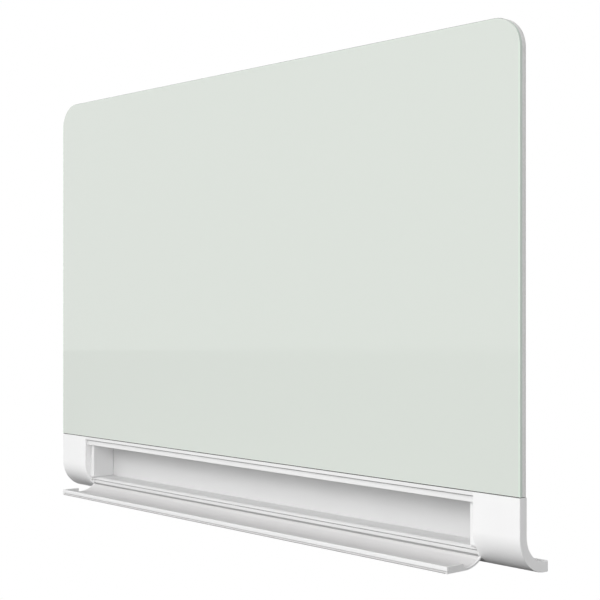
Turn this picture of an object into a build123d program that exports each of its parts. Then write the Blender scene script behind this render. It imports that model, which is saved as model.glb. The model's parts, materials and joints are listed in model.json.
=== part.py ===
from build123d import *
from math import cos, degrees, radians, sin
import os

# Glass whiteboard with a storage recess under the glass, closed by a tray that folds out.
# The front faces -Y and +Z is up. The wall is the plane Y = 0.
# The origin is the middle of the four wall screw holes, on the wall.
# Depths are counted from the face of the glass towards the wall,
# heights from the lower edge of the glass upwards.

# Board
glass_width = 991
glass_height = 559
glass_thickness = 4
corner_radius = 38
glass_arris = 0.4
steel_thickness = 0.5
core_thickness = 5.8
skin_thickness = 0.5
standoff = 52.5
joint_gap = 0.8
gasket_inset = 0.6

# End caps and the curve that they share with the closed tray
cap_width = 71
cap_depth = 13
curve_height = -46.5
cap_foot = 7
foot_wall = 5
cap_skin = 2.5
cap_rib = 2
cap_rib_count = 3
cap_edge = 0.6
boss_radius = 3.5
cap_screw_high = -10
cap_screw_low = -24

# Top rail
strip_height = 4.7
step_depth = 4
step_height = 8.6
screw_groove_width = 2.6
screw_groove_depth = 5
rail_round = 0.6

# Mounting plate
plate_thickness = 2.2
plate_above = 30
plate_tab_reach = 30.5
plate_tab_height = -32

# Storage recess
channel_wall = 1.8
channel_bend = 1
channel_back_gap = 3.5
channel_flange = 12
bezel_width = 11.8
bezel_wall = 2
bezel_gap = 0.4
bezel_toe = 1.4
rebate_depth = 2
rebate_bottom = -44.5
rebate_slope = 2.5

# Hinge: a round bead along the floor rail, in a socket along the tray and a ring in each tray end
pivot_inset = 4.48
pivot_angle = 46.2
bead_radius = 3
bead_gap = 0.3
socket_wall = 1.6
ring_wall = 0.9
mouth_gap = 1.4
stop_gap = 0.3
floor_rise = 8.3
nose_lead = 4.2
nose_radius = 3.8
nose_drop = 4.4
neck_groove = 1
floor_flange = 10.4

# Tray
door_wall = 2.4
door_top_gap = 0.4
door_end_lead = 2.6
door_round = 0.6
door_side_gap = 1
lip_rise = 8.4
lip_thickness = 2.8
lip_groove_width = 1
lip_groove_depth = 1.2
lip_round = 0.5
tray_end_width = 2.9
end_stop_length = 29
end_stop_round = 1

# Bottom panel
panel_wall = 2.2
panel_gap = 0.7
panel_flange = 10

# Wall hooks
hook_wall = 2.5
hook_drop = 81.5
hanger_overhang = 66.8
hanger_plate = 60
hanger_lip_depth = 40
hanger_lip_drop = 18
bracket_width = 60
bracket_spacing = 406.4
bracket_drop = 92
bracket_web_drop = 17
bracket_hole_drop = 55
bracket_hole_spacing = 45
bracket_hole_radius = 2.75
bracket_corner = 3
hook_bend = 1.5

# Catch, bumpers and fasteners
magnet_inset = 124.5
magnet_length = 20
magnet_width = 4
magnet_height = 2.5
bumper_inset = 44.2
bumper_width = 24
bumper_height = 16
bumper_high = -30
bumper_low = -60
bumper_round = 3
head_sides = 6
head_radius = 3.2
head_height = 1.6
shank_sides = 8
shank_radius = 1.2
shank_play = 0.15
long_screw = 8
short_screw = 6
rail_screw_count = 4
rail_screw_inset = 64.2
plate_screw_height = 20
hanger_screw_count = 4
hanger_screw_inset = 50
hanger_screw_rise = 20

# Fits and overruns
side_fit = 0.3
seat_gap = 0.3
overrun = 1

# Derived places
curve_radius = standoff - cap_foot
hook_seat_height = glass_height - hook_drop
hole_middle_height = hook_seat_height - bracket_hole_drop
hook_top = hook_seat_height + hook_wall
hanger_half = bracket_spacing / 2 + bracket_width / 2 + hanger_overhang
hanger_screw_height = hook_top - hanger_plate + hanger_screw_rise
window_half = glass_width / 2 - cap_width
rail_half = window_half - side_fit
tray_half = window_half - door_side_gap
steel_front = glass_thickness
core_front = steel_front + steel_thickness
skin_front = core_front + core_thickness
board_depth = skin_front + skin_thickness
plate_rear = board_depth + plate_thickness
strip_bottom = -joint_gap - strip_height
window_top = strip_bottom - step_height
channel_rear = standoff - channel_back_gap
channel_inner = channel_rear - channel_wall
pivot_reach = curve_radius - pivot_inset
pivot_depth = curve_radius - pivot_reach * cos(radians(pivot_angle))
pivot_height = curve_height - pivot_reach * sin(radians(pivot_angle))
floor_height = pivot_height + floor_rise
nose_front = pivot_depth - nose_lead
socket_inner = bead_radius + bead_gap
socket_outer = socket_inner + socket_wall
ring_outer = socket_inner + ring_wall
curve_bottom = curve_height - curve_radius
tray_top = window_top - door_top_gap
end_inner = tray_half - tray_end_width
bezel_inner = rail_half - bezel_width
bezel_front = lip_rise + bezel_gap
toe_rear = nose_front - side_fit
rib_pitch = (cap_width - cap_skin) / (cap_rib_count + 1)
cap_screw_x = window_half + rib_pitch + cap_rib / 2
bezel_screw_x = bezel_inner + bezel_width / 2
magnet_place = window_half - magnet_inset
bumper_place = rail_half - bumper_inset
screw_hole_radius = shank_radius + shank_play

os.makedirs("parts", exist_ok=True)


def spot(depth, height):
    # A point of a cross-section, from its depth behind the glass face and its height
    return (depth - standoff, height - hole_middle_height)


def closed_spot(depth, height):
    # The same, for the tray: its sections are drawn closed, about the hinge axis
    return (depth - pivot_depth, height - pivot_height)


def spread(count, half_length):
    # Evenly spaced places along X, from one end to the other
    return [half_length * (2 * n / (count - 1) - 1) for n in range(count)]


def front_plane(depth):
    # A plane that faces the viewer; its own axes are X and height
    return Plane(origin=(0, depth - standoff, -hole_middle_height), x_dir=(1, 0, 0), z_dir=(0, -1, 0))


# The tray's sections stand on this plane, a quarter turn open about the hinge axis
tray_plane = Plane(
    origin=(0, pivot_depth - standoff, pivot_height - hole_middle_height), x_dir=(0, 0, 1), z_dir=(1, 0, 0)
)


rail_screw_places = spread(rail_screw_count, rail_half - rail_screw_inset)
hanger_screw_places = spread(hanger_screw_count, hanger_half - hanger_screw_inset)


def finish(builder, name):
    builder.part.label = name
    export_step(builder.part, "parts/" + name + ".step")


def curve_outline(place, outer, inner, top, end):
    # The J that the end caps, the tray and the bottom panel follow, between two depths
    middle = place(curve_radius, curve_height)
    outer_bottom = curve_bottom + outer
    inner_bottom = curve_bottom + inner
    Line(place(outer, top), place(outer, curve_height))
    CenterArc(middle, curve_radius - outer, 180, 90)
    Polyline(
        place(curve_radius, outer_bottom),
        place(end, outer_bottom),
        place(end, inner_bottom),
        place(curve_radius, inner_bottom),
    )
    CenterArc(middle, curve_radius - inner, 180, 90)
    Polyline(place(inner, curve_height), place(inner, top), place(outer, top))


def drill(places, front, rear, radius):
    # Screw holes through from one depth to another, with as many flats as the shanks
    with BuildSketch(front_plane(front)) as holes:
        with Locations(*places):
            RegularPolygon(radius, shank_sides)
    extrude(holes.sketch, amount=front - rear, mode=Mode.SUBTRACT)


def make_screws(places, seat, length, name):
    # Hexagon screws driven from behind: heads on the wall side of the seat, shanks with a few flats
    with BuildPart() as screws:
        with BuildSketch(front_plane(seat)):
            with Locations(*places):
                RegularPolygon(head_radius, head_sides)
        extrude(amount=-head_height)
        with BuildSketch(front_plane(seat)):
            with Locations(*places):
                RegularPolygon(shank_radius, shank_sides)
        extrude(amount=length)
    finish(screws, name)


def make_layer(name, front, thickness, holes, hole_front):
    # One layer of the board, with the outline of the glass
    with BuildPart() as layer:
        with BuildSketch(front_plane(front)) as outline:
            Rectangle(glass_width, glass_height, align=(Align.CENTER, Align.MIN))
            fillet(outline.vertices().group_by(Axis.Y)[-1], corner_radius)
        extrude(amount=-thickness)
        if name == "glass_panel":
            chamfer(layer.faces().sort_by(Axis.Y)[0].edges(), glass_arris)
        if holes:
            drill(holes, hole_front, front + thickness + overrun, screw_hole_radius)
    finish(layer, name)


# Board layers. The screws of the plate and the hanger stop inside the core.
board_holes = [(x, plate_screw_height) for x in rail_screw_places]
board_holes += [(x, hanger_screw_height) for x in hanger_screw_places]
board_hole_front = skin_front - core_thickness / 2 - seat_gap
make_layer("glass_panel", 0, glass_thickness, [], 0)
make_layer("steel_sheet", steel_front, steel_thickness, [], 0)
make_layer("core_panel", core_front, core_thickness, board_holes, board_hole_front)
make_layer("back_sheet", skin_front, skin_thickness, board_holes, skin_front - overrun)

# Gasket between the glass and the white parts
with BuildPart() as joint_gasket:
    with BuildSketch(front_plane(gasket_inset)):
        Rectangle(glass_width - 2 * gasket_inset, joint_gap, align=(Align.CENTER, Align.MAX))
    extrude(amount=gasket_inset - board_depth)
finish(joint_gasket, "joint_gasket")


# Top rail: front strip, set-back step, screw groove behind, pockets for the magnets below
with BuildPart() as top_rail:
    with BuildSketch(Plane.YZ) as rail_section:
        with BuildLine():
            Polyline(
                spot(0, -joint_gap),
                spot(0, strip_bottom),
                spot(step_depth, strip_bottom),
                spot(step_depth, window_top),
                spot(board_depth, window_top),
                spot(board_depth, -joint_gap),
                close=True,
            )
        make_face()
        front_corners = rail_section.vertices().group_by(Axis.X)
        fillet([front_corners[0].sort_by(Axis.Y)[0], front_corners[1].sort_by(Axis.Y)[0]], rail_round)
    extrude(amount=window_half, both=True)
    with BuildSketch(front_plane(board_depth)):
        with Locations((0, (strip_bottom + window_top) / 2 + head_height)):
            Rectangle(2 * window_half, screw_groove_width)
    extrude(amount=screw_groove_depth, mode=Mode.SUBTRACT)
    magnet_middle = (step_depth + board_depth) / 2
    with BuildSketch(Plane(origin=(0, magnet_middle - standoff, window_top - hole_middle_height))):
        with Locations((magnet_place, 0), (-magnet_place, 0)):
            Rectangle(magnet_length, magnet_width)
    extrude(amount=magnet_height, mode=Mode.SUBTRACT)
finish(top_rail, "top_rail")

for side, name in ((-1, "catch_magnet_left"), (1, "catch_magnet_right")):
    with BuildPart() as magnet:
        with BuildSketch(Plane(origin=(0, magnet_middle - standoff, window_top - hole_middle_height))):
            with Locations((side * magnet_place, 0)):
                Rectangle(magnet_length, magnet_width)
        extrude(amount=magnet_height)
    finish(magnet, name)

top_rail_screw_height = (strip_bottom + window_top) / 2 + head_height


# End caps: curved mouldings, ribbed and open towards the wall
def make_end_cap(side, name):
    with BuildPart() as cap:
        with BuildSketch(Plane.YZ.offset(side * window_half)):
            with BuildLine():
                curve_outline(spot, 0, cap_depth, -joint_gap, standoff)
            make_face()
        extrude(amount=side * cap_width)
        outer_face = cap.faces().sort_by(Axis.X)[-1 if side > 0 else 0]
        chamfer(outer_face.edges(), cap_edge)
        for cell in range(cap_rib_count + 1):
            cell_start = window_half + cap_skin + cell * rib_pitch
            with BuildSketch(Plane.YZ.offset(side * cell_start)):
                with BuildLine():
                    cell_top = -joint_gap - cap_skin
                    curve_outline(spot, cap_skin, cap_depth + overrun, cell_top, standoff - foot_wall)
                make_face()
            extrude(amount=side * (rib_pitch - cap_rib), mode=Mode.SUBTRACT)
        boss_places = [(side * cap_screw_x, cap_screw_high), (side * cap_screw_x, cap_screw_low)]
        with BuildSketch(front_plane(cap_skin)):
            with Locations(*boss_places):
                Circle(boss_radius)
        extrude(amount=cap_skin - board_depth)
        tab_width = plate_tab_reach + side_fit
        tab_height = -plate_tab_height + side_fit
        with BuildSketch(front_plane(board_depth)):
            with Locations((side * (window_half + tab_width / 2), -tab_height / 2)):
                Rectangle(tab_width, tab_height)
        extrude(amount=-plate_thickness - overrun, mode=Mode.SUBTRACT)
        drill(boss_places, plate_rear - long_screw - seat_gap, board_depth + overrun, screw_hole_radius)
    finish(cap, name)
    return boss_places


cap_screw_places = make_end_cap(-1, "left_end_cap") + make_end_cap(1, "right_end_cap")
make_screws(cap_screw_places, plate_rear, long_screw, "cap_screws")


# Mounting plate: one flat bar behind the board's lower edge, with a tab behind each cap
with BuildPart() as mounting_plate:
    plate_half = window_half + plate_tab_reach
    with BuildSketch(front_plane(board_depth)):
        with Locations((0, (plate_above + window_top) / 2)):
            Rectangle(2 * plate_half, plate_above - window_top)
        tab_inner = window_half + side_fit
        for side in (-1, 1):
            with Locations((side * (tab_inner + plate_half) / 2, (window_top + plate_tab_height) / 2)):
                Rectangle(plate_half - tab_inner, window_top - plate_tab_height)
    extrude(amount=-plate_thickness)
    plate_holes = [(x, plate_screw_height) for x in rail_screw_places]
    plate_holes += [(x, top_rail_screw_height) for x in rail_screw_places]
    plate_holes += cap_screw_places
    drill(plate_holes, board_depth - overrun, plate_rear + overrun, screw_hole_radius)
finish(mounting_plate, "mounting_plate")
plate_screw_places = [(x, plate_screw_height) for x in rail_screw_places]
make_screws(plate_screw_places, plate_rear, short_screw - seat_gap, "plate_screws")
top_rail_screw_places = [(x, top_rail_screw_height) for x in rail_screw_places]
make_screws(top_rail_screw_places, plate_rear + channel_wall, long_screw, "top_rail_screws")


# Rear channel: flange on the plate, ceiling and back wall of the recess
floor_screw_height = floor_height - channel_wall - floor_flange / 2
panel_screw_height = curve_bottom + panel_flange / 2
bezel_screw_heights = [window_top - bezel_width, floor_height + bezel_width]
with BuildPart() as rear_channel:
    with BuildSketch(Plane.YZ):
        with BuildLine():
            channel_line = FilletPolyline(
                spot(plate_rear, channel_flange),
                spot(plate_rear, window_top),
                spot(channel_inner, window_top),
                spot(channel_inner, curve_bottom),
                radius=[channel_bend + channel_wall, channel_bend],
            )
            offset(channel_line, amount=channel_wall, side=Side.LEFT)
        make_face()
    extrude(amount=rail_half, both=True)
    channel_holes = [(x, floor_screw_height) for x in rail_screw_places]
    channel_holes += [(x, panel_screw_height) for x in rail_screw_places]
    channel_holes += [(side * bezel_screw_x, h) for side in (-1, 1) for h in bezel_screw_heights]
    drill(channel_holes, channel_inner - overrun, channel_rear + overrun, screw_hole_radius)
    flange_holes = [(x, top_rail_screw_height) for x in rail_screw_places]
    drill(flange_holes, plate_rear - overrun, plate_rear + channel_wall + overrun, screw_hole_radius)
finish(rear_channel, "rear_channel")


# Floor rail: floor, rounded nose, neck and hinge bead in one section.
# The neck stands flush with the front of the bead, and stops short of both ends to let the rings round.
with BuildPart() as floor_rail:
    floor_bottom = floor_height - channel_wall
    nose_middle = spot(nose_front + nose_radius, floor_height - nose_radius)
    with BuildSketch(Plane.YZ):
        with BuildLine():
            CenterArc(nose_middle, nose_radius, 90, 90)
            Polyline(
                spot(nose_front, floor_height - nose_radius),
                spot(nose_front, floor_height - nose_drop),
                spot(nose_front + channel_wall, floor_height - nose_drop),
                spot(nose_front + channel_wall, floor_height - nose_radius),
            )
            CenterArc(nose_middle, nose_radius - channel_wall, 90, 90)
            Polyline(
                spot(nose_front + nose_radius, floor_bottom),
                spot(channel_inner - channel_wall, floor_bottom),
                spot(channel_inner - channel_wall, floor_bottom - floor_flange),
                spot(channel_inner, floor_bottom - floor_flange),
                spot(channel_inner, floor_height),
                spot(nose_front + nose_radius, floor_height),
            )
        make_face()
        with Locations(spot(pivot_depth - bead_radius, pivot_height)):
            Rectangle(channel_wall, floor_rise - channel_wall, align=(Align.MIN, Align.MIN))
        with Locations(spot(pivot_depth, pivot_height)):
            Circle(bead_radius)
        # Shadow groove between the nose and the neck
        with Locations(spot(pivot_depth - bead_radius, floor_height - nose_drop)):
            Rectangle(neck_groove, neck_groove, align=(Align.MIN, Align.MAX), mode=Mode.SUBTRACT)
    extrude(amount=rail_half, both=True)
    for side in (-1, 1):
        with BuildSketch(Plane.YZ.offset(side * (end_inner - side_fit))):
            with Locations(spot(pivot_depth, pivot_height)):
                Circle(ring_outer + bead_gap)
                Circle(bead_radius, mode=Mode.SUBTRACT)
        extrude(amount=side * (rail_half - end_inner + side_fit), mode=Mode.SUBTRACT)
    floor_holes = [(x, floor_screw_height) for x in rail_screw_places]
    drill(floor_holes, channel_inner - channel_wall - overrun, channel_inner + overrun, screw_hole_radius)
finish(floor_rail, "floor_rail")
make_screws(floor_holes, channel_rear, short_screw, "floor_screws")


# Bottom panel: closes the curve between the hinge and the wall
with BuildPart() as bottom_panel:
    panel_start = pivot_angle + degrees((socket_outer + panel_gap) / pivot_reach)
    panel_middle = spot(curve_radius, curve_height)
    panel_sweep = 90 - panel_start
    with BuildSketch(Plane.YZ):
        with BuildLine():
            outer_arc = CenterArc(panel_middle, curve_radius, 180 + panel_start, panel_sweep)
            inner_arc = CenterArc(panel_middle, curve_radius - panel_wall, 180 + panel_start, panel_sweep)
            Line(outer_arc @ 0, inner_arc @ 0)
            Polyline(
                outer_arc @ 1,
                spot(channel_inner, curve_bottom),
                spot(channel_inner, curve_bottom + panel_flange),
                spot(channel_inner - channel_wall, curve_bottom + panel_flange),
                spot(channel_inner - channel_wall, curve_bottom + panel_wall),
                inner_arc @ 1,
            )
        make_face()
    extrude(amount=rail_half, both=True)
    panel_holes = [(x, panel_screw_height) for x in rail_screw_places]
    drill(panel_holes, channel_inner - channel_wall - overrun, channel_inner + overrun, screw_hole_radius)
finish(bottom_panel, "bottom_panel")
make_screws(panel_holes, channel_rear, short_screw, "panel_screws")


# Bezels: upright bars and side walls of the recess, hollow towards the caps
def make_bezel(side, name):
    toe_bottom = floor_height - bezel_toe
    toe_round = toe_rear - bezel_front
    rebate_rear = bezel_front + rebate_depth
    with BuildPart() as bezel:
        with BuildSketch(Plane.YZ.offset(side * bezel_inner)) as bezel_section:
            with BuildLine():
                Line(spot(bezel_front, window_top), spot(bezel_front, toe_bottom + toe_round))
                CenterArc(spot(toe_rear, toe_bottom + toe_round), toe_round, 180, 90)
                Polyline(
                    spot(toe_rear, toe_bottom),
                    spot(toe_rear, floor_height),
                    spot(channel_inner, floor_height),
                    spot(channel_inner, window_top),
                    spot(bezel_front, window_top),
                )
            make_face()
            fillet(bezel_section.vertices().group_by(Axis.X)[-1].sort_by(Axis.Y)[-1], channel_bend)
        extrude(amount=side * bezel_width)
        # Rebate for the raised stop of the closed tray's end
        with BuildSketch(Plane.YZ.offset(side * (end_inner - side_fit))):
            with BuildLine():
                Polyline(
                    spot(bezel_front - overrun, window_top + overrun),
                    spot(rebate_rear, window_top + overrun),
                    spot(rebate_rear, rebate_bottom + rebate_slope),
                    spot(bezel_front, rebate_bottom),
                    spot(bezel_front - overrun, rebate_bottom),
                    close=True,
                )
            make_face()
        extrude(amount=side * bezel_width, mode=Mode.SUBTRACT)
        # Pocket that leaves an even wall
        pocket_length = channel_inner - rebate_rear - 2 * bezel_wall
        pocket_height = window_top - floor_height - 2 * bezel_wall
        with BuildSketch(Plane.YZ.offset(side * (bezel_inner + bezel_wall))):
            with Locations(spot(rebate_rear + bezel_wall, window_top - bezel_wall)):
                Rectangle(pocket_length, pocket_height, align=(Align.MIN, Align.MAX))
        extrude(amount=side * bezel_width, mode=Mode.SUBTRACT)
        places = [(side * bezel_screw_x, h) for h in bezel_screw_heights]
        drill(places, channel_inner - bezel_wall - overrun, channel_inner + overrun, screw_hole_radius)
    finish(bezel, name)
    return places


bezel_screw_places = make_bezel(-1, "left_bezel") + make_bezel(1, "right_bezel")
make_screws(bezel_screw_places, channel_rear, short_screw, "bezel_screws")


# Tray section, drawn closed: flat front and curve, with a ring round the hinge axis
def tray_section(ring):
    middle = closed_spot(curve_radius, curve_height)
    sweep = pivot_angle - door_end_lead
    Circle(ring)
    with BuildLine() as sheet:
        outer_arc = CenterArc(middle, curve_radius, 180, sweep)
        inner_arc = CenterArc(middle, curve_radius - door_wall, 180, sweep)
        Line(outer_arc @ 1, inner_arc @ 1)
        Line(outer_arc @ 0, closed_spot(0, tray_top - door_round))
        CenterArc(closed_spot(door_round, tray_top - door_round), door_round, 90, 90)
        Polyline(closed_spot(door_round, tray_top), closed_spot(door_wall, tray_top), inner_arc @ 0)
    make_face(sheet.edges())
    Circle(socket_inner, mode=Mode.SUBTRACT)


# Tray door: its ring is open in front for the neck, and leaves a shadow gap under the bead when open
with BuildPart() as tray_door:
    with BuildSketch(tray_plane):
        tray_section(socket_outer)
        mouth_start = -bead_radius - mouth_gap
        mouth_end = bead_radius - channel_wall - stop_gap
        mouth_reach = 2 * socket_outer
        with BuildLine():
            Polyline(
                (mouth_start, -stop_gap),
                (0, -stop_gap),
                (0, mouth_end),
                (mouth_reach, mouth_end),
                (mouth_reach, mouth_reach),
                (mouth_start, mouth_reach),
                close=True,
            )
        make_face(mode=Mode.SUBTRACT)
    extrude(amount=end_inner, both=True)
finish(tray_door, "tray_door")

# Lip: steel strip on the front edge of the tray and its ends, with a shadow groove at its base
with BuildPart() as tray_lip:
    with BuildSketch(tray_plane) as lip_section:
        with BuildLine():
            Polyline(
                closed_spot(door_wall, tray_top - lip_groove_depth),
                closed_spot(door_wall + lip_groove_width, tray_top - lip_groove_depth),
                closed_spot(door_wall + lip_groove_width, tray_top),
                closed_spot(lip_rise, tray_top),
                closed_spot(lip_rise, tray_top - lip_thickness),
                closed_spot(door_wall, tray_top - lip_thickness),
                close=True,
            )
        make_face()
        fillet(lip_section.vertices().group_by(Axis.X)[-1], lip_round)
    extrude(amount=tray_half, both=True)
finish(tray_lip, "tray_lip")


# Tray ends: the tray's section again with the whole ring, and a raised stop behind the lip
def make_tray_end(side, name):
    with BuildPart() as tray_end:
        with BuildSketch(tray_plane.offset(side * end_inner)):
            tray_section(ring_outer)
            stop_height = end_stop_length - lip_thickness
            with BuildSketch(mode=Mode.PRIVATE) as stop:
                with Locations(closed_spot(door_wall / 2, tray_top - lip_thickness)):
                    Rectangle(lip_rise - door_wall / 2, stop_height, align=(Align.MIN, Align.MAX))
                fillet(stop.vertices().group_by(Axis.X)[-1].sort_by(Axis.Y)[0], end_stop_round)
            add(stop.sketch)
        extrude(amount=side * tray_end_width)
    finish(tray_end, name)


make_tray_end(-1, "tray_end_left")
make_tray_end(1, "tray_end_right")


# Hanger rail on the back of the board, hooked over the wall brackets
with BuildPart() as hanger_rail:
    lip_rear = hanger_lip_depth + hook_wall
    with BuildSketch(Plane.YZ):
        with BuildLine():
            hanger_line = FilletPolyline(
                spot(board_depth, hook_top - hanger_plate),
                spot(board_depth, hook_top),
                spot(lip_rear, hook_top),
                spot(lip_rear, hook_top - hanger_lip_drop),
                radius=hook_bend + hook_wall,
            )
            offset(hanger_line, amount=hook_wall, side=Side.RIGHT)
        make_face()
    extrude(amount=hanger_half, both=True)
    hanger_holes = [(x, hanger_screw_height) for x in hanger_screw_places]
    drill(hanger_holes, board_depth - overrun, board_depth + hook_wall + overrun, screw_hole_radius)
finish(hanger_rail, "hanger_rail")
make_screws(hanger_holes, board_depth + hook_wall, short_screw - seat_gap, "hanger_screws")


# Wall brackets: bent steel hooks, each with two holes for wall screws
def make_wall_bracket(side, name):
    bracket_top = hook_seat_height - seat_gap
    bracket_bottom = hook_seat_height - bracket_drop
    web_top = hook_seat_height - bracket_web_drop
    lip_front = hanger_lip_depth - seat_gap - hook_wall
    hole_places = [
        (side * bracket_spacing / 2, hole_middle_height + bracket_hole_spacing / 2),
        (side * bracket_spacing / 2, hole_middle_height - bracket_hole_spacing / 2),
    ]
    with BuildPart() as bracket:
        with BuildSketch(Plane.YZ.offset(side * bracket_spacing / 2)) as bracket_section:
            with BuildLine():
                bracket_line = FilletPolyline(
                    spot(lip_front, bracket_top),
                    spot(lip_front, web_top - hook_wall),
                    spot(standoff - hook_wall, web_top - hook_wall),
                    spot(standoff - hook_wall, bracket_bottom),
                    radius=[hook_bend + hook_wall, hook_bend],
                )
                offset(bracket_line, amount=hook_wall, side=Side.LEFT)
            make_face()
            # The top edges are rounded to clear the bend that they hang in
            fillet(bracket_section.vertices().group_by(Axis.Y)[-1], hook_bend - seat_gap)
        extrude(amount=bracket_width / 2, both=True)
        fillet(bracket.faces().sort_by(Axis.Z)[0].edges().filter_by(Axis.Y), bracket_corner)
        with BuildSketch(front_plane(standoff - hook_wall - overrun)):
            with Locations(*hole_places):
                Circle(bracket_hole_radius)
        extrude(amount=-hook_wall - 2 * overrun, mode=Mode.SUBTRACT)
    finish(bracket, name)


make_wall_bracket(-1, "wall_bracket_left")
make_wall_bracket(1, "wall_bracket_right")

# Rubber bumpers between the recess and the wall
with BuildPart() as wall_bumpers:
    with BuildSketch(front_plane(channel_rear)):
        with Locations(*[(side * bumper_place, h) for side in (-1, 1) for h in (bumper_high, bumper_low)]):
            RectangleRounded(bumper_width, bumper_height, bumper_round)
    extrude(amount=-channel_back_gap)
finish(wall_bumpers, "wall_bumpers")
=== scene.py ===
import json
import math
import bmesh
import bpy
from mathutils import Matrix, Vector


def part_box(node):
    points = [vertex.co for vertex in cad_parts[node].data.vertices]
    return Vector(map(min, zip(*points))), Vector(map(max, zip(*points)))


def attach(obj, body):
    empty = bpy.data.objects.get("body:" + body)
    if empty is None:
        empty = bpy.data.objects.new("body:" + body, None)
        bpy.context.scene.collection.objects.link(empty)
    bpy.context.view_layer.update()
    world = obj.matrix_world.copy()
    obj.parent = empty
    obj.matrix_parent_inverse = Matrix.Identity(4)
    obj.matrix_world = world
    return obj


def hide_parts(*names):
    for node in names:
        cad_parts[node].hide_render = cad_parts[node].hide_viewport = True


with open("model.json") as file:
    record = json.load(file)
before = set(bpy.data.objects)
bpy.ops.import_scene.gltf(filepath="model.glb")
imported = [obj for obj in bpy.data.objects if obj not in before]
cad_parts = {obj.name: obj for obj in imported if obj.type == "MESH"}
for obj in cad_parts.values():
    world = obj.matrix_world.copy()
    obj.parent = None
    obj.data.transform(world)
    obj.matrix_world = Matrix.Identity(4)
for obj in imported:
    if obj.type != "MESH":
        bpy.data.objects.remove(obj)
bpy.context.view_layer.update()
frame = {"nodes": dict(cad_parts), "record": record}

print("glass whiteboard: frame loaded,", len(frame["nodes"]), "nodes")

mm = 0.001
scene = bpy.context.scene
record = frame["record"]
slotOf = {entry["node"]: entry["material_slot"] for entry in record["subparts"]}
bodyOf = {name: body for body, names in record["behaviour"]["bodies"].items() for name in names}


def hexColour(code):
    # sRGB hex to linear, with full alpha
    values = [int(code[i:i + 2], 16) / 255 for i in (1, 3, 5)]
    linear = [v / 12.92 if v <= 0.04045 else ((v + 0.055) / 1.055) ** 2.4 for v in values]
    return (*linear, 1.0)


def addNode(tree, kind, inputs=None, output=0, **settings):
    # a node with its settings; each input, by name or number, gets a value or a link
    node = tree.nodes.new(kind)
    for name, value in settings.items():
        setattr(node, name, value)
    for key, value in (inputs or {}).items():
        if isinstance(value, bpy.types.NodeSocket):
            tree.links.new(value, node.inputs[key])
        else:
            node.inputs[key].default_value = value
    return node.outputs[output] if node.outputs else node


def startFinish(name):
    # an empty material, with the object coordinates that its patterns read
    material = bpy.data.materials.new(name)
    material.use_nodes = True
    tree = material.node_tree
    tree.nodes.clear()
    return material, tree, addNode(tree, "ShaderNodeTexCoord", output="Object")


driftSpan = (0.35, 0.65)  # the part of a slow noise that the two tones share out


def tintFinish(tree, coords, look):
    # the colour drifts slowly between two close tones, as one batch of paint or plastic does
    drift = addNode(tree, "ShaderNodeTexNoise", {
        "Vector": coords, "Scale": 1 / (look["driftMm"] * mm),
    })
    tone = addNode(tree, "ShaderNodeMapRange", {0: drift, 1: driftSpan[0], 2: driftSpan[1]})
    colour = addNode(tree, "ShaderNodeMix", {
        0: tone, 6: hexColour(look["darker"]), 7: hexColour(look["colour"]),
    }, output=2, data_type="RGBA")
    # painted shade lines, in grooves, gaps and under overhangs where shade falls: a hex colour,
    # then axis, from and to in millimetres
    for code, *limits in look.get("paintedShadeLines", ()):
        place = addNode(tree, "ShaderNodeSeparateXYZ", {0: coords}).node.outputs
        within = 1.0
        for axis, low, high in limits:
            above = addNode(tree, "ShaderNodeMath", {
                0: place[axis], 1: low * mm,
            }, operation="GREATER_THAN")
            below = addNode(tree, "ShaderNodeMath", {
                0: place[axis], 1: high * mm,
            }, operation="LESS_THAN")
            band = addNode(tree, "ShaderNodeMath", {0: above, 1: below}, operation="MULTIPLY")
            within = addNode(tree, "ShaderNodeMath", {0: band, 1: within}, operation="MULTIPLY")
        colour = addNode(tree, "ShaderNodeMix", {
            0: within, 6: colour, 7: hexColour(code),
        }, output=2, data_type="RGBA")
    return colour


resinIor = 1.5  # powder coat, ABS, PVC, rubber and paint alike


def coverSurface(tree, coords, look, skin, glossMarks, relief):
    # a painted, moulded or extruded surface: its tint, a gloss that varies a little, its relief
    rough = addNode(tree, "ShaderNodeMapRange", {
        0: glossMarks, 1: skin["span"][0], 2: skin["span"][1],
        3: look["roughness"] + skin["low"], 4: look["roughness"] + skin["high"],
    })
    bump = addNode(tree, "ShaderNodeBump", {
        "Strength": skin["relief"], "Distance": skin["reliefMm"] * mm, "Height": relief,
    })
    surface = addNode(tree, "ShaderNodeBsdfPrincipled", {
        "Base Color": tintFinish(tree, coords, look), "Roughness": rough, "IOR": resinIor,
        "Specular IOR Level": skin["specular"], "Normal": bump,
    })
    addNode(tree, "ShaderNodeOutputMaterial", {"Surface": surface})


powderCoat = {
    "peelMm": 1.6, "gritMm": 0.5, "span": (0.3, 0.7), "low": -0.04, "high": 0.05,
    "relief": 0.25, "reliefMm": 0.035, "specular": 0.25,
}


def makePowderCoat(look):
    # baked powder on metal: even colour, satin gloss, and the low soft waves of orange peel
    material, tree, coords = startFinish(look["name"])
    peel = addNode(tree, "ShaderNodeTexNoise", {
        "Vector": coords, "Scale": 1 / (powderCoat["peelMm"] * mm), "Detail": 1.0,
    })
    grit = addNode(tree, "ShaderNodeTexNoise", {
        "Vector": coords, "Scale": 1 / (powderCoat["gritMm"] * mm),
    })
    coverSurface(tree, coords, look, powderCoat, grit, peel)
    return material


mouldedAbs = {
    # the real pits are about 0.2 mm apart, drawn coarser so that they show
    "pitMm": 0.7, "span": (0.1, 0.7), "low": 0.06, "high": -0.03,
    "relief": 0.3, "reliefMm": 0.02, "specular": 0.25,
}


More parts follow.
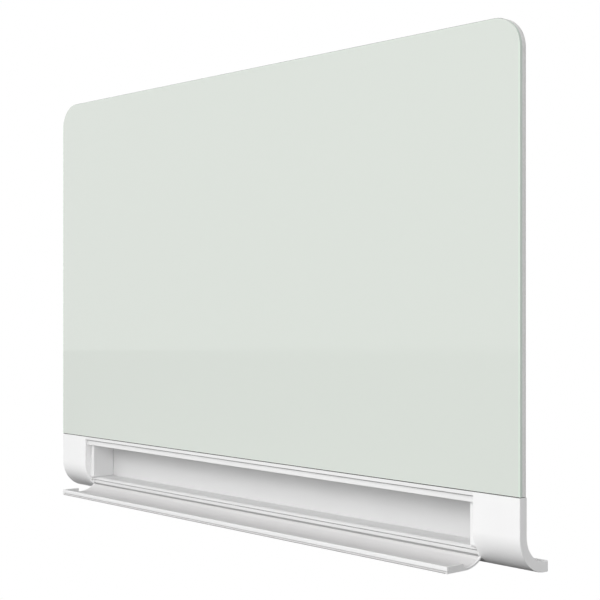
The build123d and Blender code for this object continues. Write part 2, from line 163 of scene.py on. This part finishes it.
def makeMoulded(look):
    # injection-moulded ABS from a spark-eroded mould: fine even pits that soften the gloss
    material, tree, coords = startFinish(look["name"])
    pits = addNode(tree, "ShaderNodeTexVoronoi", {
        "Vector": coords, "Scale": 1 / (mouldedAbs["pitMm"] * mm),
    })
    coverSurface(tree, coords, look, mouldedAbs, pits, pits)
    return material


extrudedPvc = {
    # the real die lines are about 0.3 mm apart, drawn coarser so that they show
    "lineMm": 0.9, "stretch": (0.004, 1, 1), "span": (0.3, 0.7), "low": -0.05, "high": 0.05,
    "relief": 0.15, "reliefMm": 0.03, "specular": 0.25,
}


def makeExtruded(look):
    # extruded PVC: a satin skin with faint lines from the die, all along the length
    material, tree, coords = startFinish(look["name"])
    along = addNode(tree, "ShaderNodeMapping", {
        "Vector": coords, "Scale": extrudedPvc["stretch"],
    })
    lines = addNode(tree, "ShaderNodeTexNoise", {
        "Vector": along, "Scale": 1 / (extrudedPvc["lineMm"] * mm), "Detail": 3.0,
    })
    coverSurface(tree, coords, look, extrudedPvc, lines, lines)
    return material


softRubber = {
    # the real pores are about 0.1 mm wide, drawn coarser so that they show
    "poreMm": 0.6, "span": (0.3, 0.7), "low": -0.08, "high": 0.1,
    "relief": 0.3, "reliefMm": 0.05, "specular": 0.3,
}


def makeRubber(look):
    # moulded rubber or silicone: matt, with fine pores and a dusty bloom here and there
    material, tree, coords = startFinish(look["name"])
    pores = addNode(tree, "ShaderNodeTexNoise", {
        "Vector": coords, "Scale": 1 / (softRubber["poreMm"] * mm), "Detail": 4.0,
    })
    coverSurface(tree, coords, look, softRubber, pores, pores)
    return material


pressedBoard = {
    "fibreMm": 0.7, "stretch": (0.12, 1, 0.12), "span": (0.3, 0.7), "low": -0.04, "high": 0.1,
    "relief": 0.4, "reliefMm": 0.08, "specular": 0.2,
}


def makeFibreboard(look):
    # pressed fibreboard, its edge painted: short fibres in layers still show through the paint
    material, tree, coords = startFinish(look["name"])
    flat = addNode(tree, "ShaderNodeMapping", {
        "Vector": coords, "Scale": pressedBoard["stretch"],
    })
    fibres = addNode(tree, "ShaderNodeTexNoise", {
        "Vector": flat, "Scale": 1 / (pressedBoard["fibreMm"] * mm), "Detail": 4.0,
    })
    coverSurface(tree, coords, look, pressedBoard, fibres, fibres)
    return material


bareMetal = {"span": (0.3, 0.7), "low": -0.06, "high": 0.08, "relief": 0.2, "reliefMm": 0.015}


def makeMetal(look):
    # plated, galvanised or mill-finished metal: crystal grains, or lines from the rolls or die
    material, tree, coords = startFinish(look["name"])
    along = addNode(tree, "ShaderNodeMapping", {"Vector": coords, "Scale": look["stretch"]})
    grain = addNode(tree, "ShaderNodeTexNoise", {
        "Vector": along, "Scale": 1 / (look["grainMm"] * mm), "Detail": 3.0,
    })
    crystals = addNode(tree, "ShaderNodeTexVoronoi", {
        "Vector": coords, "Scale": 1 / (look["crystalMm"] * mm),
    }, output="Color")
    tone = addNode(tree, "ShaderNodeMix", {
        0: look["crystals"], 6: grain, 7: crystals,
    }, output=2, data_type="RGBA")
    colour = addNode(tree, "ShaderNodeMix", {
        0: tone, 6: hexColour(look["darker"]), 7: hexColour(look["colour"]),
    }, output=2, data_type="RGBA")
    rough = addNode(tree, "ShaderNodeMapRange", {
        0: grain, 1: bareMetal["span"][0], 2: bareMetal["span"][1],
        3: look["roughness"] + bareMetal["low"], 4: look["roughness"] + bareMetal["high"],
    })
    bump = addNode(tree, "ShaderNodeBump", {
        "Strength": bareMetal["relief"], "Distance": bareMetal["reliefMm"] * mm, "Height": grain,
    })
    metal = addNode(tree, "ShaderNodeBsdfPrincipled", {
        "Base Color": colour, "Metallic": 1.0, "Roughness": rough, "Normal": bump,
    })
    addNode(tree, "ShaderNodeOutputMaterial", {"Surface": metal})
    return material


glassLook = {
    # arris is a painted highlight, arrisShade a painted shade line, and rim painted light at the
    # pane's border
    "face": "#DBE1DA", "edge": "#D2E0D5", "arris": "#F4FAF4", "arrisShade": "#484746",
    "rim": "#E0F2E2", "rimMm": 3.0, "rimAmount": 0.9, "topRimAmount": 0.3,
    "roughness": 0.015, "ior": 1.52,
    "waveMm": 90, "waveStretch": (0.3, 1, 1), "relief": 0.05, "reliefMm": 0.05,
    # the normal's Y runs from -1 on the front face to 0 on the cut edge
    "arrisY": (-0.97, -0.9), "edgeY": (-0.25, -0.1), "rightX": (0.25, 0.6),
}
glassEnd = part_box("glass_panel")[1]


def makeGlass(look):
    # toughened float glass, painted pale on its back: a mirror-smooth face with the faint roller
    # wave of toughening, a cut edge that shows the glass's green, and a polished arris with a
    # painted highlight on the right and a fine grey line of painted shade along the top and the
    # left
    material, tree, coords = startFinish("toughenedBackPaintedGlass")
    place = addNode(tree, "ShaderNodeSeparateXYZ", {0: coords}).node.outputs
    normal = addNode(tree, "ShaderNodeTexCoord", output="Normal")
    turned = addNode(tree, "ShaderNodeSeparateXYZ", {0: normal}).node.outputs
    # painted light: the last few millimetres are lighter and greener, as if they gathered light
    # from the edge
    rimWidth = look["rimMm"] * mm
    aside = addNode(tree, "ShaderNodeMath", {0: place["X"]}, operation="ABSOLUTE")
    nearSide = addNode(tree, "ShaderNodeMapRange", {
        0: aside, 1: glassEnd.x - rimWidth, 2: glassEnd.x, 4: look["rimAmount"],
    })
    nearTop = addNode(tree, "ShaderNodeMapRange", {
        0: place["Z"], 1: glassEnd.z - rimWidth, 2: glassEnd.z, 4: look["topRimAmount"],
    })
    rim = addNode(tree, "ShaderNodeMath", {0: nearSide, 1: nearTop}, operation="MAXIMUM")
    colour = addNode(tree, "ShaderNodeMix", {
        0: rim, 6: hexColour(look["face"]), 7: hexColour(look["rim"]),
    }, output=2, data_type="RGBA")
    # painted highlight on the arris that faces right, painted shade line on the arris along the
    # top and the left
    rightwards = addNode(tree, "ShaderNodeMapRange", {
        0: turned["X"], 1: look["rightX"][0], 2: look["rightX"][1],
    })
    arris = addNode(tree, "ShaderNodeMix", {
        0: rightwards, 6: hexColour(look["arrisShade"]), 7: hexColour(look["arris"]),
    }, output=2, data_type="RGBA")
    for reach, tone in (("arrisY", arris), ("edgeY", hexColour(look["edge"]))):
        amount = addNode(tree, "ShaderNodeMapRange", {
            0: turned["Y"], 1: look[reach][0], 2: look[reach][1],
        })
        colour = addNode(tree, "ShaderNodeMix", {
            0: amount, 6: colour, 7: tone,
        }, output=2, data_type="RGBA")
    stretched = addNode(tree, "ShaderNodeMapping", {
        "Vector": coords, "Scale": look["waveStretch"],
    })
    wave = addNode(tree, "ShaderNodeTexNoise", {
        "Vector": stretched, "Scale": 1 / (look["waveMm"] * mm), "Detail": 1.0,
    })
    bump = addNode(tree, "ShaderNodeBump", {
        "Strength": look["relief"], "Distance": look["reliefMm"] * mm, "Height": wave,
    })
    glass = addNode(tree, "ShaderNodeBsdfPrincipled", {
        "Base Color": colour, "Roughness": look["roughness"], "IOR": look["ior"], "Normal": bump,
    })
    addNode(tree, "ShaderNodeOutputMaterial", {"Surface": glass})
    return material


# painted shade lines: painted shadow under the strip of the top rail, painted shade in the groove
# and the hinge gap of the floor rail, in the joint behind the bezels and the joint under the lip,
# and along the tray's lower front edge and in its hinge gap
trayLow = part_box("tray_door")[0] / mm
noseReach = ("Y", -60, -30)
finishes = {
    "cap": (makeMoulded, {
        "name": "mouldedAbsWhite", "colour": "#FCFCFC", "darker": "#FAFAFA",
        "driftMm": 60, "roughness": 0.34}),
    "bezel": (makeMoulded, {
        "name": "mouldedAbsPale", "colour": "#F1F1F1", "darker": "#EFEFEF",
        "driftMm": 40, "roughness": 0.38,
        # painted shade at the bezels' rear ends, where they meet the back wall
        "paintedShadeLines": (("#A6A6A6", ("Y", -5.9, -5.2)),)}),
    "trayEnd": (makeMoulded, {
        "name": "mouldedAbsTrayEnd", "colour": "#EEEEEE", "darker": "#ECECEC",
        "driftMm": 40, "roughness": 0.36}),
    "rail_paint": (makePowderCoat, {
        "name": "powderCoatedAluminium", "colour": "#F3F3F3", "darker": "#F1F1F1",
        "driftMm": 90, "roughness": 0.36,
        # painted shadow on the step just under the rail's front strip
        "paintedShadeLines": (("#A8A8A8", ("Z", -429.4, -428.0)),)}),
    "lip": (makePowderCoat, {
        "name": "powderCoatedSteelLip", "colour": "#F8F8F8", "darker": "#F6F6F6",
        "driftMm": 90, "roughness": 0.34,
        # painted shade in the groove at the foot of the lip
        "paintedShadeLines": (("#D2D2D2", ("Z", -514, -512.4)),)}),
    # a pale grey, darkened in part as painted shade for the deep recess
    "channel": (makePowderCoat, {
        "name": "powderCoatedSteelPale", "colour": "#DBDBDB", "darker": "#D9D9D9",
        "driftMm": 90, "roughness": 0.45}),
    # a pale grey, darkened in part as painted shade for the floor of the recess
    "floor_rail": (makePowderCoat, {
        "name": "powderCoatedRailPale", "colour": "#DCDCDC", "darker": "#DADADA",
        "driftMm": 90, "roughness": 0.38,
        # painted shade in the groove under the nose, then painted shade in the hinge gap
        "paintedShadeLines": (("#909090", ("Z", -495.75, -495.1), noseReach),
                  ("#B4B4B4", ("Z", -502.2, -500.4), noseReach))}),
    "back_sheet": (makePowderCoat, {
        "name": "coilCoatedSteelGrey", "colour": "#D5D6D6", "darker": "#CFD0D0",
        "driftMm": 120, "roughness": 0.42}),
    # a light grey, darkened in part as painted shade for the tray's inside
    "tray": (makeExtruded, {
        "name": "extrudedPvcSatin", "colour": "#E0DFDF", "darker": "#DEDDDD",
        "driftMm": 70, "roughness": 0.36,
        # painted shade along the tray's lower front edge, then painted shade in its hinge gap
        "paintedShadeLines": (("#808080", ("Z", trayLow.z - 1, trayLow.z + 0.8),
                   ("Y", trayLow.y - 1, trayLow.y + 0.8)),
                  ("#BEBEBE", ("Z", -503.1, -501.5), ("Y", -37, -34)))}),
    # a grey silicone joint, its dark tone in part painted shade of the joint line under the glass
    "gasket": (makeRubber, {
        "name": "greySilicone", "colour": "#525250", "darker": "#4C4C4C",
        "driftMm": 9, "roughness": 0.7}),
    "rubber": (makeRubber, {
        "name": "bumperRubber", "colour": "#343332", "darker": "#242424",
        "driftMm": 9, "roughness": 0.7}),
    "core": (makeFibreboard, {
        "name": "paintedFibreboardEdge", "colour": "#F6F6F5", "darker": "#EEEEEC",
        "driftMm": 3, "roughness": 0.7}),
    "steel_sheet": (makeMetal, {
        "name": "galvanisedSheet", "colour": "#D6D8D9", "darker": "#B8BBBE", "roughness": 0.42,
        "grainMm": 1.5, "stretch": (1, 1, 1), "crystalMm": 9, "crystals": 0.6}),
    "hanger": (makeMetal, {
        "name": "millAluminium", "colour": "#DADCDD", "darker": "#C4C7CA", "roughness": 0.38,
        "grainMm": 0.6, "stretch": (0.004, 1, 1), "crystalMm": 9, "crystals": 0.05}),
    "zinc": (makeMetal, {
        "name": "zincPlatedSteel", "colour": "#D4D7DA", "darker": "#B4BAC0", "roughness": 0.42,
        "grainMm": 1.2, "stretch": (1, 1, 1), "crystalMm": 5, "crystals": 0.35}),
    "magnet": (makeMetal, {
        "name": "nickelPlatedMagnet", "colour": "#CFCDC9", "darker": "#BDBBB7",
        "roughness": 0.24,
        "grainMm": 0.6, "stretch": (1, 1, 1), "crystalMm": 2, "crystals": 0.1}),
    "screw": (makeMetal, {
        "name": "zincPlatedScrew", "colour": "#D8D8D4", "darker": "#BCBDBB", "roughness": 0.32,
        "grainMm": 0.4, "stretch": (1, 1, 1), "crystalMm": 1.2, "crystals": 0.2}),
}

materials = {slotName: maker(look) for slotName, (maker, look) in finishes.items()}
materials["glass"] = makeGlass(glassLook)
print("materials:", len(materials))

for nodeName, node in frame["nodes"].items():
    for materialSlot in node.material_slots:
        materialSlot.material = materials[slotOf[nodeName]]


# Edge softening: a merged copy of a CAD node with small rounded edges and smooth curves

edgeRounds = {
    "top_rail": 0.2, "tray_door": 0.2, "tray_lip": 0.25,
    "tray_end_left": 0.25, "tray_end_right": 0.25,
    "floor_rail": 0.15, "left_bezel": 0.4, "right_bezel": 0.4, "rear_channel": 0.2,
    "left_end_cap": 0.3, "right_end_cap": 0.3, "bottom_panel": 0.25, "hanger_rail": 0.2,
    "wall_bracket_left": 0.25, "wall_bracket_right": 0.25, "mounting_plate": 0.2,
    "wall_bumpers": 0.6, "catch_magnet_left": 0.2, "catch_magnet_right": 0.2,
    # 0 leaves the edges square and only smooths the curves
    "glass_panel": 0,
}
softening = {"mergeMm": 0.002, "flatDegrees": 0.5, "sharpDegrees": 30, "segments": 3}


def softCopy(nodeName, width):
    mesh = frame["nodes"][nodeName].data.copy()
    mesh.name = nodeName + "Soft"
    sharp = math.radians(softening["sharpDegrees"])
    work = bmesh.new()
    work.from_mesh(mesh)
    bmesh.ops.remove_doubles(work, verts=work.verts, dist=softening["mergeMm"] * mm)
    bmesh.ops.dissolve_limit(work, angle_limit=math.radians(softening["flatDegrees"]),
                             verts=work.verts, edges=work.edges)
    work.to_mesh(mesh)
    work.free()
    mesh.shade_smooth()
    piece = bpy.data.objects.new(nodeName + "Soft", mesh)
    scene.collection.objects.link(piece)
    if width:
        bevel = piece.modifiers.new("edgeRound", "BEVEL")
        bevel.width = width * mm
        bevel.segments = softening["segments"]
        bevel.limit_method = "ANGLE"
        bevel.angle_limit = sharp
        bevel.use_clamp_overlap = True
        bevel.harden_normals = True
    mesh.set_sharp_from_angle(angle=sharp)
    finish = "trayEnd" if nodeName.startswith("tray_end") else slotOf[nodeName]
    mesh.materials.clear()
    mesh.materials.append(materials[finish])
    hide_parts(nodeName)
    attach(piece, bodyOf[nodeName])


for nodeName, width in edgeRounds.items():
    softCopy(nodeName, width)
print("edges softened:", len(edgeRounds))


# Screws: indented hexagon washer heads with threaded shanks, set by Geometry Nodes

# the tree's named inputs, in millimetres
screwLook = {
    "Washer Radius": 2.9, "Washer Height": 0.45,
    "Head Radius": 2.5, "Head Height": 1.6, "Recess": 0.5,
    "Shank Radius": 0.95, "Shank Length": 6.0, "Thread Depth": 0.22, "Thread Pitch": 1.0,
}
# sides of the round parts, and shares of a radius
screwShape = {
    "washerSides": 28, "washerTaper": 0.93, "headTaper": 0.95, "recessShare": 0.78,
    "shankSides": 12, "tipShare": 0.5, "ridgeSides": 4, "stepsPerTurn": 12, "seed": 7,
    "sharpDegrees": 35,
}
# half the width of a head in the CAD, and the columns and rows of each set in its node's box
headHalf = 3.2
screwSets = {
    "top_rail_screws": (4, 1), "plate_screws": (4, 1), "floor_screws": (4, 1),
    "panel_screws": (4, 1), "hanger_screws": (4, 1), "bezel_screws": (2, 2),
    "cap_screws": (2, 2),
}


def screwPlaces(nodeName, columns, rows):
    # seats of the heads, and the shank's length, from the node's own box
    low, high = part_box(nodeName)
    headX = headHalf * mm
    headZ = headX * math.cos(math.radians(30))
    seat = high.y - screwLook["Head Height"] * mm
    stepX = (high.x - low.x - 2 * headX) / (columns - 1)
    stepZ = (high.z - low.z - 2 * headZ) / max(1, rows - 1)
    xs = [low.x + headX + n * stepX for n in range(columns)]
    zs = [low.z + headZ + n * stepZ for n in range(rows)]
    return [((x, seat, z), seat - low.y) for x in xs for z in zs]


def makeScrewTree(shape):
    tree = bpy.data.node_groups.new("hexWasherScrews", "GeometryNodeTree")
    sockets = tree.interface
    sockets.new_socket("Seats", in_out="INPUT", socket_type="NodeSocketGeometry")
    for name in screwLook:
        sockets.new_socket(name, in_out="INPUT", socket_type="NodeSocketFloat")
    sockets.new_socket("Finish", in_out="INPUT", socket_type="NodeSocketMaterial")
    sockets.new_socket("Screws", in_out="OUTPUT", socket_type="NodeSocketGeometry")
    given = addNode(tree, "NodeGroupInput").node.outputs

    # washer, then the hexagon with its shallow indent
    washerTop = addNode(tree, "ShaderNodeMath", {
        0: given["Washer Radius"], 1: shape["washerTaper"],
    }, operation="MULTIPLY")
    washer = addNode(tree, "GeometryNodeMeshCone", {
        "Vertices": shape["washerSides"], "Radius Top": washerTop,
        "Radius Bottom": given["Washer Radius"], "Depth": given["Washer Height"],
    })
    hexTop = addNode(tree, "ShaderNodeMath", {
        0: given["Head Radius"], 1: shape["headTaper"],
    }, operation="MULTIPLY")
    hexTall = addNode(tree, "ShaderNodeMath", {
        0: given["Head Height"], 1: given["Washer Height"],
    }, operation="SUBTRACT")
    hexagon = addNode(tree, "GeometryNodeMeshCone", {
        "Vertices": 6, "Radius Top": hexTop, "Radius Bottom": given["Head Radius"],
        "Depth": hexTall,
    })
    inset = addNode(tree, "GeometryNodeExtrudeMesh", {
        "Mesh": hexagon, "Selection": hexagon.node.outputs["Top"], "Offset Scale": 0.0,
    })
    indent = inset.node.outputs["Top"]
    narrowed = addNode(tree, "GeometryNodeScaleElements", {
        "Geometry": inset, "Selection": indent, "Scale": shape["recessShare"],
    })
    inwards = addNode(tree, "ShaderNodeMath", {
        0: given["Recess"], 1: -1.0,
    }, operation="MULTIPLY")
    sunk = addNode(tree, "GeometryNodeExtrudeMesh", {
        "Mesh": narrowed, "Selection": indent, "Offset Scale": inwards,
    })
    onWasher = addNode(tree, "ShaderNodeCombineXYZ", {2: given["Washer Height"]})
    raised = addNode(tree, "GeometryNodeTransform", {"Geometry": sunk, "Translation": onWasher})
    head = addNode(tree, "GeometryNodeJoinGeometry", {0: washer})
    tree.links.new(raised, head.node.inputs[0])

    # shank, tip down, with a helical ridge that thins towards the tip
    tip = addNode(tree, "ShaderNodeMath", {
        0: given["Shank Radius"], 1: shape["tipShare"],
    }, operation="MULTIPLY")
    shank = addNode(tree, "GeometryNodeMeshCone", {
        "Vertices": shape["shankSides"], "Radius Top": given["Shank Radius"],
        "Radius Bottom": tip, "Depth": given["Shank Length"],
    })
    turns = addNode(tree, "ShaderNodeMath", {
        0: given["Shank Length"], 1: given["Thread Pitch"],
    }, operation="DIVIDE")
    helix = addNode(tree, "GeometryNodeCurveSpiral", {
        "Resolution": shape["stepsPerTurn"], "Rotations": turns, "Start Radius": tip,
        "End Radius": given["Shank Radius"], "Height": given["Shank Length"],
    })
    ridge = addNode(tree, "GeometryNodeCurvePrimitiveCircle", {
        "Resolution": shape["ridgeSides"], "Radius": given["Thread Depth"],
    })
    thread = addNode(tree, "GeometryNodeCurveToMesh", {
        "Curve": helix, "Profile Curve": ridge, "Fill Caps": True,
    })
    body = addNode(tree, "GeometryNodeJoinGeometry", {0: shank})
    tree.links.new(thread, body.node.inputs[0])

    # heads point to the wall, each turned by its own amount; shanks run the other way
    turn = addNode(tree, "FunctionNodeRandomValue", {
        2: 0.0, 3: math.radians(60), "Seed": shape["seed"],
    }, output=1, data_type="FLOAT")
    spin = addNode(tree, "ShaderNodeCombineXYZ", {0: math.radians(-90), 1: turn})
    heads = addNode(tree, "GeometryNodeInstanceOnPoints", {
        "Points": given["Seats"], "Instance": head, "Rotation": spin,
    })
    length = addNode(tree, "GeometryNodeInputNamedAttribute", {
        "Name": "shankLength",
    }, data_type="FLOAT")
    forwards = addNode(tree, "ShaderNodeMath", {0: length, 1: -1.0}, operation="MULTIPLY")
    toTip = addNode(tree, "ShaderNodeCombineXYZ", {1: forwards})
    tips = addNode(tree, "GeometryNodeSetPosition", {
        "Geometry": given["Seats"], "Offset": toTip,
    })
    longer = addNode(tree, "ShaderNodeMath", {
        0: length, 1: given["Shank Length"],
    }, operation="DIVIDE")
    stretch = addNode(tree, "ShaderNodeCombineXYZ", {0: 1.0, 1: 1.0, 2: longer})
    shanks = addNode(tree, "GeometryNodeInstanceOnPoints", {
        "Points": tips, "Instance": body, "Rotation": spin, "Scale": stretch,
    })
    screws = addNode(tree, "GeometryNodeJoinGeometry", {0: heads})
    tree.links.new(shanks, screws.node.inputs[0])
    solid = addNode(tree, "GeometryNodeRealizeInstances", {0: screws})
    plated = addNode(tree, "GeometryNodeSetMaterial", {
        "Geometry": solid, "Material": given["Finish"],
    })
    addNode(tree, "NodeGroupOutput", {0: plated})
    return tree


def makeScrews():
    seats = []
    for name, (columns, rows) in screwSets.items():
        seats += screwPlaces(name, columns, rows)
    points = bpy.data.meshes.new("screwSeats")
    points.from_pydata([spot for spot, length in seats], [], [])
    lengths = points.attributes.new("shankLength", "FLOAT", "POINT")
    for n, (spot, length) in enumerate(seats):
        lengths.data[n].value = length
    holder = bpy.data.objects.new("screwSeats", points)
    scene.collection.objects.link(holder)
    tree = makeScrewTree(screwShape)
    modifier = holder.modifiers.new("screws", "NODES")
    modifier.node_group = tree
    for item in tree.interface.items_tree:
        if item.name in screwLook:
            modifier[item.identifier] = screwLook[item.name] * mm
        elif item.name == "Finish":
            modifier[item.identifier] = materials["screw"]
    evaluated = holder.evaluated_get(bpy.context.evaluated_depsgraph_get())
    mesh = bpy.data.meshes.new_from_object(evaluated)
    mesh.name = "hexWasherScrews"
    mesh.shade_smooth()
    mesh.set_sharp_from_angle(angle=math.radians(screwShape["sharpDegrees"]))
    bpy.data.objects.remove(holder)  # and its modifier with it
    piece = bpy.data.objects.new("hexWasherScrews", mesh)
    scene.collection.objects.link(piece)
    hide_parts(*screwSets)
    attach(piece, "board")
    print("screws:", len(seats), "with", len(mesh.polygons), "faces")


makeScrews()


# Stage: camera, floor and light

view = {
    "place": (1.4596, -1.2525, -0.1944), "yaw": 48.26, "focal": 79.02, "sensor": 36.0,
    "farClip": 200,
    "floor": -1.35, "floorRadius": 2.2, "floorSides": 96,
    "floorColour": "#5C5C5C", "floorDarker": "#585858", "floorDriftMm": 25, "floorLift": 0.94,
    # light from the front, sides and back: sine of the height above the horizon, and level
    "skyLevel": 3.0,
    "skyFront": ((-0.72, 0.03), (-0.28, 0.06), (0.0, 0.13), (0.24, 0.42), (0.48, 0.88),
                 (0.72, 0.42), (0.95, 0.04)),
    "skySides": ((-0.72, 0.05), (-0.28, 0.06), (0.0, 0.40), (0.24, 0.28), (0.48, 0.08),
                 (0.72, 0.0), (0.95, 0.0)),
    "skyBack": ((-0.72, 0.05), (-0.1, 0.15), (0.25, 0.30), (0.95, 0.12)),
    # between these the sides give way to the front or the back
    "frontBlend": (-0.5, -0.87), "backBlend": (0.5, 0.87),
    # the far softbox gives the level edge in the pane's reflection, the near one lifts the right
    "softboxes": (
        {"name": "softboxFar", "centre": (-8.06, -7.2415, 6.82), "target": (0, -0.0515, 6.82),
         "size": 15.0, "radiance": 0.45, "inGloss": True},
        {"name": "softboxNear", "centre": (1.2, -2.9, 0.5), "target": (0.1, 0, -0.1),
         "size": 2.6, "radiance": 1.2, "inGloss": False},
    ),
}


def makeCamera():
    data = bpy.data.cameras.new("camera")
    data.lens = view["focal"]
    data.sensor_width = view["sensor"]
    data.clip_end = view["farClip"]
    camera = bpy.data.objects.new("camera", data)
    camera.location = view["place"]
    camera.rotation_euler = (math.radians(90), 0, math.radians(view["yaw"]))
    scene.collection.objects.link(camera)
    scene.camera = camera
    scene.view_settings.view_transform = "Standard"


def makeWorld():
    world = bpy.data.worlds.new("studio")
    scene.world = world
    world.use_nodes = True
    tree = world.node_tree
    tree.nodes.clear()
    coords = addNode(tree, "ShaderNodeTexCoord", output="Generated")
    direction = addNode(tree, "ShaderNodeSeparateXYZ", {0: coords}).node.outputs
    height = addNode(tree, "ShaderNodeMapRange", {0: direction["Z"], 1: -1.0, 2: 1.0})
    # how far a direction lies towards the front or the back, whatever its height
    square = addNode(tree, "ShaderNodeMath", {
        0: direction["Z"], 1: direction["Z"],
    }, operation="MULTIPLY")
    # a little over 1, so that straight up and down don't divide by zero
    rest = addNode(tree, "ShaderNodeMath", {0: 1.0001, 1: square}, operation="SUBTRACT")
    level = addNode(tree, "ShaderNodeMath", {0: rest}, operation="SQRT")
    around = addNode(tree, "ShaderNodeMath", {0: direction["Y"], 1: level}, operation="DIVIDE")
    light = {}
    for name in ("skySides", "skyFront", "skyBack"):
        light[name] = addNode(tree, "ShaderNodeValToRGB", {0: height})
        ramp = light[name].node.color_ramp
        ramp.interpolation = "EASE"
        while len(ramp.elements) < len(view[name]):
            ramp.elements.new(0.5)
        for stop, (sine, amount) in zip(ramp.elements, view[name]):
            stop.position = (sine + 1) / 2
            stop.color = (amount, amount, amount, 1)
    allRound = light["skySides"]
    for blend, name in (("frontBlend", "skyFront"), ("backBlend", "skyBack")):
        towards = addNode(tree, "ShaderNodeMapRange", {
            0: around, 1: view[blend][0], 2: view[blend][1],
        })
        allRound = addNode(tree, "ShaderNodeMix", {
            0: towards, 6: allRound, 7: light[name],
        }, output=2, data_type="RGBA")
    # plain white for rays from the camera, off a gloss or through glass; the rest get soft light
    path = addNode(tree, "ShaderNodeLightPath").node.outputs
    seen = path["Is Camera Ray"]
    for ray in ("Is Glossy Ray", "Is Transmission Ray"):
        seen = addNode(tree, "ShaderNodeMath", {0: seen, 1: path[ray]}, operation="MAXIMUM")
    soft = addNode(tree, "ShaderNodeBackground", {
        "Color": allRound, "Strength": view["skyLevel"],
    })
    white = addNode(tree, "ShaderNodeBackground", {"Color": (1, 1, 1, 1), "Strength": 1.0})
    sky = addNode(tree, "ShaderNodeMixShader", {0: seen, 1: soft, 2: white})
    addNode(tree, "ShaderNodeOutputWorld", {"Surface": sky})


def makeFloor():
    # a matt studio floor, lifted to white for the camera alone, so that undersides stay shaded
    mesh = bpy.data.meshes.new("floor")
    work = bmesh.new()
    bmesh.ops.create_circle(work, cap_ends=True, segments=view["floorSides"],
                            radius=view["floorRadius"],
                            matrix=Matrix.Translation((0, 0, view["floor"])))
    work.to_mesh(mesh)
    work.free()
    floor = bpy.data.objects.new("floor", mesh)
    scene.collection.objects.link(floor)
    material, tree, coords = startFinish("mattStudioFloor")
    colour = tintFinish(tree, coords, {
        "colour": view["floorColour"], "darker": view["floorDarker"],
        "driftMm": view["floorDriftMm"],
    })
    matt = addNode(tree, "ShaderNodeBsdfDiffuse", {"Color": colour})
    seen = addNode(tree, "ShaderNodeLightPath", output="Is Camera Ray")
    strength = addNode(tree, "ShaderNodeMath", {
        0: seen, 1: view["floorLift"],
    }, operation="MULTIPLY")
    lift = addNode(tree, "ShaderNodeEmission", {"Strength": strength})
    both = addNode(tree, "ShaderNodeAddShader", {0: matt, 1: lift})
    addNode(tree, "ShaderNodeOutputMaterial", {"Surface": both})
    mesh.materials.append(material)


def addSoftbox(name, centre, target, size, radiance, inGloss):
    # a square flat lamp of an even radiance, out of the camera's own sight
    data = bpy.data.lights.new(name, "AREA")
    data.shape = "SQUARE"
    data.size = size
    data.energy = radiance * math.pi * size * size
    lamp = bpy.data.objects.new(name, data)
    lamp.location = centre
    aim = Vector(target) - Vector(centre)
    lamp.rotation_euler = aim.to_track_quat("-Z", "Y").to_euler()
    lamp.visible_camera = False
    lamp.visible_glossy = inGloss
    scene.collection.objects.link(lamp)


makeCamera()
makeWorld()
makeFloor()
for softbox in view["softboxes"]:
    addSoftbox(**softbox)
print("stage ready")
